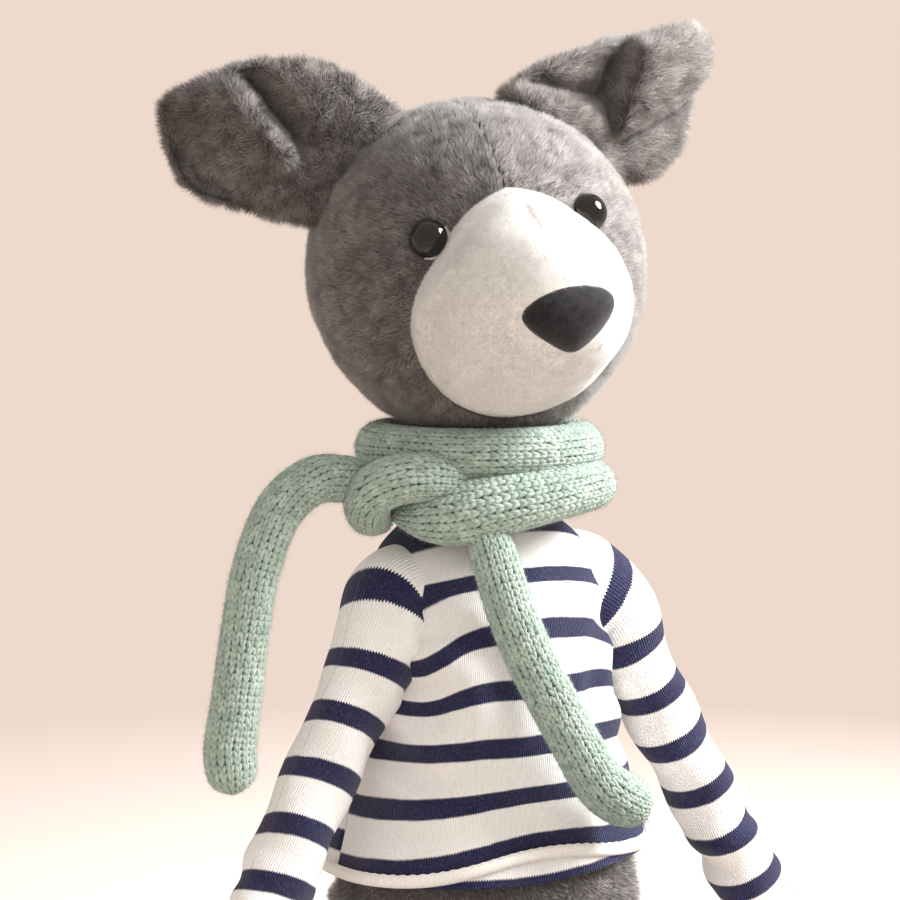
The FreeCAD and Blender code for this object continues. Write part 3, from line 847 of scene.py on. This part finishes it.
def make_top():
    grid, _, turn = oval_grid(TOP, 190, 520)
    x, y, z = grid[..., 0], grid[..., 1], grid[..., 2]
    wrapped = (turn + math.pi) % (2 * math.pi) - math.pi
    z = z + edge_lift(wrapped, z)
    grid[..., 2] = z
    seam = bump(y - SEAM_Y, 0.8) * smooth(128, 118, z)
    grid = grid + normals_of(grid) * (top_folds(x, y, z) - 0.9 * seam)[..., None]
    around = (turn + 0 * z) * JERSEY_R
    # what moves the stripes: the step at the side seams, the droop at the shoulders' ends, the
    # cloth's slope over the shoulders, the armpits, the girth's tilt and the hem's roll
    back = np.where(y > SEAM_Y + 12 * smooth(104, 128, z), SEAM_STEP, 0.0)
    droop = 8.5 * np.minimum(np.abs(x - LEAN * z) / 36, 1.1) ** 2.2 * smooth(94, 122, z) * (y < 14)
    slope = 4.5 * smooth(125, 138, z)
    tilt = 2.2 * np.cos(turn + math.radians(60)) * smooth(120, 60, z)
    hitch = (0.9 * hem_rise(wrapped) + edge_lift(wrapped, 42.0)) * smooth(84, 46, z)
    up = z + armpit_pull(x, z) - tilt + back + droop + slope - hitch
    uv = np.stack([around, up], -1)
    closed = np.concatenate([grid, grid[:, :1]], 1)
    last = np.stack([uv[:, 0, 0] + 2 * math.pi * JERSEY_R, uv[:, 0, 1]], -1)
    uv = np.concatenate([uv, last[:, None]], 1)
    piece = grid_mesh("top_body", closed, closed=False, uv=uv)
    thicken(piece, 0.7)
    finish_piece(piece, JERSEY, "torso")
    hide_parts("shirt_front", "shirt_back")
    make_placket(grid, uv)
    make_hem(grid, wrapped)
    make_neckline(grid)


def make_placket(grid, uv):
    """The overlapping back opening, held by a strip of hook and loop inside it."""
    rows = np.arange(12, 168)
    middle = grid.shape[1] // 4
    cols = np.arange(middle - 12, middle + 13)
    part = grid[rows][:, cols]
    normals = normals_of(grid)[rows][:, cols]
    rim = np.minimum(1 - np.abs(np.linspace(-1, 1, len(cols)))[None, :] ** 6,
                     1 - np.abs(np.linspace(-1, 1, len(rows)))[:, None] ** 60)
    part = part + normals * (0.15 + 1.1 * np.sqrt(np.maximum(rim, 0)))[..., None]
    shifted = uv[rows][:, cols] + (0.3, 1.6)
    piece = grid_mesh("top_placket", part, closed=False, uv=shifted)
    thicken(piece, 0.5)
    finish_piece(piece, JERSEY, "torso")
    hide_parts("shirt_fastener")
    for label, col in (("near", 3), ("far", -4)):
        line = part[:, col] + normals[:, col] * 0.15
        stitches("top_placket_stitches_" + label, line, 2.6, 1.7, 0.2, closed=False)


def thicken(piece, depth):
    """Gives a surface depth mm of cloth on its inner side."""
    modifier = piece.modifiers.new("thickness", "SOLIDIFY")
    modifier.thickness = depth * MM
    modifier.offset = -1.0


def loop_tangents(line):
    return unit(np.roll(line, -1, 0) - np.roll(line, 1, 0))


def rolled_band(name, line, radius, node, wide=1.25):
    """A closed rolled edge of white binding along a loop of points."""
    tangent = loop_tangents(line)
    upright = np.array([0, 0, 1.0])
    e1 = unit(upright - (tangent @ upright)[:, None] * tangent)
    points = line[:, None] + rings(e1, np.cross(tangent, e1), turns(20), wide) * radius
    points = np.concatenate([points, points[:1]], 0)
    piece = grid_mesh(name, points)
    finish_piece(piece, BINDING, "torso")
    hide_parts(node)


def between_rows(grid, at, cols):
    """Points of the grid's columns cols at fractional rows."""
    low = np.floor(at).astype(int)
    mix = (at - low)[..., None]
    return grid[low, cols] * (1 - mix) + grid[low + 1, cols] * mix


def make_hem(grid, turn):
    """The white turned hem, which follows the lowest edge and rides up at the front."""
    rise = hem_rise(turn[0])
    cols = np.arange(grid.shape[1])
    height = grid[0, :, 2] + 1.2 + rise
    at = np.array([np.interp(height[c], grid[:, c, 2], np.arange(len(grid))) for c in cols])
    line = between_rows(grid, at, cols)
    away = unit(line * (1, 1, 0) - np.array([LEAN * 41, 0, 0]))
    line = line + away * (0.7 + 1.0 * smooth(0.5, 5.0, rise))[:, None]
    rolled_band("top_hem", line, 1.35, "shirt_hem", wide=1.45)
    stitches("top_hem_stitches", line + away * 1.2 + (0, 0, 2.2), 3.1, 1.9, 0.24)
    # below the roll, the jersey's own striped edge shows where the roll has ridden up
    shown = np.flatnonzero(rise > 0.4)
    row = np.linspace(0, 1, 12)[:, None] * at[shown]
    ends = bump(np.linspace(-1, 1, len(shown)), 0.75)[None, :, None]
    under = between_rows(grid, row, shown) + away[shown] * (0.15 + 0.7 * ends)
    height = under[..., 2] - grid[0, shown, 2]
    around = np.tile(turn[0, shown] * JERSEY_R, (12, 1))
    uv = np.stack([around, height + STRIPE_TOP - 5 * STRIPE_PERIOD + 0.4], -1)
    piece = grid_mesh("top_hem_under", under, closed=False, uv=uv)
    thicken(piece, 0.5)
    finish_piece(piece, JERSEY, "torso")


THREAD_SIDES = 6


def stitches(name, line, pitch, length, radius, closed=True):
    """Short thread stitches along a line."""
    if closed:
        line = np.vstack([line, line[:1]])
    along = distances(line)
    starts = np.arange(0, along[-1] - length, pitch)
    radii = radius * np.array([0.4, 1.0, 1.0, 1.0, 0.4])[:, None, None]
    points, faces = [], []
    for i, s in enumerate(starts):
        mid = read_at(s + np.linspace(0, length, len(radii)), along, line)
        _, e1, e2 = carried_frames(mid, (0, 0, 1.0))
        points.append((mid[:, None] + rings(e1, e2, turns(THREAD_SIDES)) * radii).reshape(-1, 3))
        faces.append(grid_faces(len(radii), THREAD_SIDES, True) + i * len(radii) * THREAD_SIDES)
    piece = make_mesh(name, np.vstack(points), np.vstack(faces))
    finish_piece(piece, THREAD, "torso")


def make_neckline(grid):
    line = grid[-2] + (0, 0, 0.2)
    rolled_band("top_neckline", line, 0.9, "shirt_neck_binding")


def sleeve_route(side):
    """Middle of the sleeve, and its ring's two half sizes, from inside the armhole to the cuff."""
    slope, mid = (4.6, 3.4) if side < 0 else (0.6, 0.4)
    points = [(side * 24.0 - 2.6, -2.5, 123.0, 17.5, 14.5), (side * 32.0 - 2.6, -3.0, 121.0, 18.0, 14.8),
              np.r_[arm_point(side, 112) - (side * slope, 0, -1.6), 15.2, 13.4],
              np.r_[arm_point(side, 100) - (side * mid, 0, 0), 12.3, 12.1],
              np.r_[arm_point(side, 80) - (side * 0.4 * mid, 0, 0), SLEEVE_R, 11.2],
              np.r_[arm_point(side, 55), 10.9, 10.9], np.r_[arm_point(side, 36), 10.9, 10.9],
              np.r_[arm_point(side, CUFF_Z - 2), 10.8, 10.8]]
    return curve_through(points, 250)


def make_sleeves():
    for name, side in SIDES:
        line = sleeve_route(side)
        centre, tall, deep = line[:, :3], line[:, 3], line[:, 4]
        tangent, e1, e2 = carried_frames(centre, (0, 0, 1.0))
        turn = np.linspace(0, 2 * math.pi, 181)
        grid = centre[:, None] + rings(e1, e2, turn, tall[:, None, None], deep[:, None, None])
        along = distances(centre)[:, None]
        under = -np.cos(turn)[None, :]
        crease = np.sin(along * 0.75 + 0.8 * np.sin(turn)[None]) * bump(along - 22, 11.0)
        crease = crease * smooth(-0.4, 0.8, under)
        drift = 0.55 * np.sin(along * 0.21 + turn[None] * 2 + side) * smooth(14, 40, along)
        fold = 0.9 * np.sin(along * 0.42 + turn[None]) * bump(along - 108, 14.0)
        fuzz = 0.35 * noise3(grid.reshape(-1, 3), 9.0)[:, 0].reshape(grid.shape[:2])
        fuzz = fuzz * (1 - bump((turn[None] - math.pi) % (2 * math.pi) - math.pi, 0.3))
        away = unit(grid - centre[:, None])
        grid = grid + away * (crease + drift + fold + fuzz)[..., None]
        grid[:, -1] = grid[:, 0]
        around = turn[None] * SLEEVE_R + 0 * along
        seam_shift = 2.2 * np.sin(turn)[None]
        uv = np.stack([around, STRIPE_TOP - 5.0 - along + seam_shift + 0 * turn[None]], -1)
        piece = grid_mesh("sleeve_cloth_" + name, grid, closed=False, uv=uv)
        thicken(piece, 0.6)
        finish_piece(piece, JERSEY)
        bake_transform(piece)
        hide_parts("sleeve_" + name)
        make_cuff(name, grid[-3, :-1], tangent[-3])


def make_cuff(name, loop, axis):
    """A flat white band round the sleeve's end; axis points down the sleeve."""
    line = loop - axis * 0.2
    e1 = np.tile(axis, (len(line), 1))
    points = line[:, None] + rings(e1, np.cross(loop_tangents(line), e1), turns(16), 2.0, 0.9)
    points = np.concatenate([points, points[:1]], 0)
    piece = grid_mesh("cuff_cloth_" + name, points)
    finish_piece(piece, BINDING, "arm_" + name)
    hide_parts("cuff_" + name)


# ---- knitted scarf ---------------------------------------------------------------------------
# a strand of a stitch: share of its length, half width, half height
LEG_RINGS = [(0.0, 0.05, 0.0), (0.2, 0.70, 0.6), (0.55, 0.78, 0.74), (0.86, 0.5, 0.5), (1.0, 0.0, 0.1)]
STRAND_SIDES = 6


def knit(name, route, radii, body, seed, node=None, first=(0, 0, 1.0)):
    """A knitted tube: every stitch is a V of two plump strands, in columns along the tube."""
    fine = curve_through(np.column_stack([np.asarray(route, float), np.asarray(radii, float)]), 400)
    centre, radius = fine[:, :3], np.maximum(fine[:, 3], 0.3)
    usual = np.percentile(radius, 70)
    along = distances(centre)
    _, e1, e2 = carried_frames(centre, first)
    wales = int(round(2 * math.pi * usual / KNIT_WALE))
    courses = int(along[-1] / KNIT_COURSE)
    rng = np.random.default_rng(seed)
    i, j = np.meshgrid(np.arange(wales), np.arange(courses))
    i, j = i.ravel(), j.ravel()
    tone = np.clip(rng.normal(0.5, 0.2, i.size), 0, 1)
    points = []
    for leg in (-1.0, 1.0):
        jitter = rng.normal(0, KNIT_WILD, (i.size, 2))
        for t, wide, tall in LEG_RINGS:
            # the leg climbs outwards from the foot of the V and leans over the next course
            aside = leg * (0.10 + 0.30 * math.sin(t * math.pi * 0.55))
            turn = (i + 0.5 + aside + jitter[:, 0]) * (2 * math.pi / wales)
            s = np.clip((j + 0.05 + 1.42 * t + jitter[:, 1]) * KNIT_COURSE, 0, along[-1])
            a, b = read_at(s, along, e1), read_at(s, along, e2)
            r = np.interp(s, along, radius)[:, None]
            out = np.cos(turn)[:, None] * a + np.sin(turn)[:, None] * b
            side = -np.sin(turn)[:, None] * a + np.cos(turn)[:, None] * b
            mid = read_at(s, along, centre) + out * (r - 0.35)
            w = 0.95 * wide * np.clip(r / usual, 0.3, 1.3)
            points += [mid + side * math.cos(q) * w + out * (math.sin(q) * tall) for q in turns(STRAND_SIDES)]
    # each stitch's points lie together: by leg, then ring, then ring corner
    cloud = np.stack(points, 1).reshape(-1, 3)
    uv = np.repeat(np.stack([tone, np.full(i.size, 0.5)], 1), len(points), axis=0)
    strand = grid_faces(len(LEG_RINGS), STRAND_SIDES, True)
    starts = (np.arange(i.size * 2) * len(LEG_RINGS) * STRAND_SIDES)[:, None, None]
    piece = make_mesh(name, cloud, (strand[None] + starts).reshape(-1, 4), uv)
    finish_piece(piece, YARN, body)
    if node:
        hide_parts(node)
    # a darker tube under the stitches paints the shade in the gaps between them
    core = centre[:, None] + rings(e1, e2, turns(40)) * np.maximum(radius - 0.75, 0.05)[:, None, None]
    inner = grid_mesh(name + "_core", core[::2], uv=np.full(core[::2].shape[:2] + (2,), 0.5))
    finish_piece(inner, YARN_PAINTED_SHADE, body)
    halo(name + "_halo", core, centre, body, int(along[-1] * 110), seed)


def halo(name, grid, centre, body, count, seed):
    """Loose wool fibres standing off the knit."""
    rng = np.random.default_rng(seed + 100)
    at, normal = sample_grid(grid, unit(grid - centre[:, None]), count, rng)
    comb = rng.normal(0, 0.8, at.shape)
    pile(name, at + normal * 0.8, normal, comb, 1.6, 0.06, 0.9, (YARN, "knitted_yarn"), body, rng,
         clump=2.0, wild=0.6)


def ring_route(radius, height, start, end, count):
    """A route round the neck; angles run from the side the viewer sees, in degrees."""
    points = []
    for a in np.linspace(start, end, count):
        q = math.radians(a - VIEWER_TURN)
        r, z = radius(a), height(a)
        points.append((LEAN * z + r * math.sin(q), -r * math.cos(q), z))
    return points


def make_scarf():
    """Two turns, the knot's loop and the two ends; each route's points are in mm, with their radii."""
    ahead = (0, -1.0, 0)
    upper = ring_route(lambda a: 29.8 + 0.6 * math.cos(math.radians(a)),
                       lambda a: 167.3 + 1.2 * math.cos(math.radians(a)), -185, 185, 17)
    knit("scarf_turn_upper", upper, [7.6] * len(upper), "torso", 41, "scarf_wrap")
    lower = [(-37.5, -8, 150.5), (-36.8, -14.5, 150.3), (-33.2, -21.0, 150.6), (-26.9, -27.0, 151.7),
             (-18.1, -32.3, 153.8), (-7.7, -35.0, 155.6), (5.3, -34.4, 157.0), (18.0, -28.2, 157.4)]
    lower += ring_route(lambda a: 32.0, lambda a: 156.5, 85, 235, 8)
    sizes = [2.0, 4.6, 7.6, 9.4, 9.0, 8.3, 7.6, 7.2] + [7.0] * 8
    knit("scarf_turn_lower", lower, sizes, "torso", 42)
    knot = [(-21.3, -23.4, 159.2), (-26.6, -23.7, 160.8), (-32.4, -23.7, 162.2), (-38.5, -23.3, 162.8),
            (-43.5, -22.0, 162.6), (-48.0, -19.4, 161.0), (-50.2, -15.6, 158.0), (-49.2, -11.2, 153.8),
            (-45.4, -6.6, 150.2), (-39.4, -2.8, 147.8)]
    sizes = [4.0, 5.4, 6.6, 7.1, 7.3, 7.3, 7.1, 6.8, 6.0, 4.0]
    knit("scarf_knot_loop", knot, sizes, "torso", 43, "scarf_knot", ahead)
    side_end = [(-47, -4, 160), (-55, -6.5, 161.6), (-66, -8, 161.8), (-77.5, -9, 154), (-85.5, -10, 138),
                (-90, -10.5, 118), (-93, -11, 100), (-95.3, -11.5, 87), (-95.2, -12, 80), (-94.6, -12, 75.5),
                (-94.0, -12, 72.6)]
    sizes = [6.2, 6.7, 6.9, 6.9, 6.9, 6.9, 7.1, 7.5, 7.4, 5.6, 0.6]
    knit("scarf_side", side_end, sizes, "scarf_side", 44, "scarf_end_side", ahead)
    front_end = [(-21.5, -29, 151), (-20.5, -33.4, 143), (-19.5, -37, 134.5), (-18, -41, 124),
                 (-13, -44, 110), (-6.5, -47, 96), (-0.5, -49.5, 84), (5.5, -51, 73.5), (11.5, -51.2, 68),
                 (17.5, -50.8, 65), (21.5, -50.6, 63.4), (24.4, -50.4, 62.4)]
    sizes = [5.0, 6.4, 6.8, 7.1, 7.2, 7.2, 7.3, 7.5, 7.9, 7.6, 5.6, 0.6]
    # its top stays in the lower turn
    hung = ("torso", "scarf_front", (-0.0205, -0.0334, 0.143), (-0.0185, -0.0395, 0.128))
    knit("scarf_front", front_end, sizes, hung, 45, "scarf_end_front", ahead)


# ---- small pieces ----------------------------------------------------------------------------
def make_label():
    """A blank woven ribbon, folded double and caught in the back seam of the seat."""
    out = np.array([0.0, 5.0, 10.0, 14.2, 15.2, 15.4, 15.2, 14.2, 10.0, 5.0, 0.0])
    apart = np.array([-0.35, -0.40, -0.55, -0.50, -0.30, 0.0, 0.30, 0.50, 0.55, 0.40, 0.35])
    path = curve_through(np.column_stack([out, apart]), 60)
    up = np.linspace(12.0, 25.0, 26)[:, None]
    far, side = path[None, :, 0], path[None, :, 1]
    sag = 1.6 * (far / 15.0) ** 2
    curl = 1.1 * np.sin(far * 0.22) + 0.25 * np.sin(up * 0.5) * far / 15.0
    points = np.stack([22.4 + side + curl + 0 * up, 33.5 + far - 0.3 * sag + 0 * up, up - sag], -1)
    piece = grid_mesh("care_ribbon", points, closed=False)
    thicken(piece, 0.25)
    finish_piece(piece, BINDING, "torso")
    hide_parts("care_label")


def plain_nodes():
    """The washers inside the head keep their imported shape."""
    for name in ("eye_washer_right", "eye_washer_left"):
        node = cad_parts[name]
        node.data.materials.clear()
        node.data.materials.append(BINDING)


# ---- stage, light and camera -----------------------------------------------------------------
FLOOR_HALF, FLOOR_Z = 6000, -0.2


def make_stage():
    count = 48
    line = np.linspace(-FLOOR_HALF, FLOOR_HALF, count)
    x, y = np.meshgrid(line, line)
    floor = make_mesh("floor", np.stack([x.ravel(), y.ravel(), np.full(x.size, FLOOR_Z)], 1),
                      grid_faces(count, count, False))
    floor.data.materials.append(background("room"))


def area_light(name, place, target, size, power, color, glint=True):
    data = bpy.data.lights.new(name, "AREA")
    data.shape = "DISK"
    data.size = size
    data.energy = power
    data.color = color
    lamp = bpy.data.objects.new(name, data)
    lamp.location = place
    lamp.visible_glossy = glint
    lamp.rotation_euler = (Vector(target) - Vector(place)).to_track_quat("-Z", "Y").to_euler()
    bpy.context.scene.collection.objects.link(lamp)


def make_light():
    middle = (0.0, 0.0, 0.17)
    area_light("key", (0.95, -0.55, 0.95), middle, 0.7, 46.0, (0.985, 0.99, 1.0))
    area_light("front", (-0.6, -1.5, 0.9), middle, 2.2, 8.0, (1.0, 0.96, 0.92), glint=False)
    world = bpy.data.worlds.new("room_light")
    world.use_nodes = True
    # the camera sees the room's colour; what lights the dog is paler
    tree = world.node_tree
    seen, lit = tree.nodes["Background"], tree.nodes.new("ShaderNodeBackground")
    seen.inputs[0].default_value = ROOM
    lit.inputs[0].default_value = srgb(250, 240, 232)
    lit.inputs[1].default_value = 0.72
    path, both = tree.nodes.new("ShaderNodeLightPath"), tree.nodes.new("ShaderNodeMixShader")
    tree.links.new(path.outputs["Is Camera Ray"], both.inputs[0])
    tree.links.new(lit.outputs[0], both.inputs[1])
    tree.links.new(seen.outputs[0], both.inputs[2])
    tree.links.new(both.outputs[0], tree.nodes["World Output"].inputs["Surface"])
    bpy.context.scene.world = world
    bpy.context.scene.view_settings.view_transform = "Standard"


CAMERA_AZIMUTH = -VIEWER_TURN
CAMERA_ELEVATION = 7.0
CAMERA_DISTANCE = 1.1
FRAME_HEIGHT = 0.2727       # what the picture takes in at the body's own distance
AIM = (-0.0104, 0.0062, 0.166)


def make_camera():
    a, e = math.radians(CAMERA_AZIMUTH), math.radians(CAMERA_ELEVATION)
    back = Vector((math.sin(a) * math.cos(e), -math.cos(a) * math.cos(e), math.sin(e)))
    data = bpy.data.cameras.new("camera")
    data.sensor_width = 36.0
    data.lens = 36.0 * CAMERA_DISTANCE / FRAME_HEIGHT
    camera = bpy.data.objects.new("camera", data)
    camera.location = Vector(AIM) + back * CAMERA_DISTANCE
    camera.rotation_euler = (-back).to_track_quat("-Z", "Y").to_euler()
    bpy.context.scene.collection.objects.link(camera)
    bpy.context.scene.camera = camera


make_head()
make_muzzle()
make_nose()
make_eyes()
for ear_name, ear_side in SIDES:
    make_ear(ear_name, ear_side)
make_body()
make_neck()
make_hands()
make_legs()
make_tail()
make_top()
make_sleeves()
make_scarf()
make_label()
plain_nodes()
make_stage()
make_light()
make_camera()
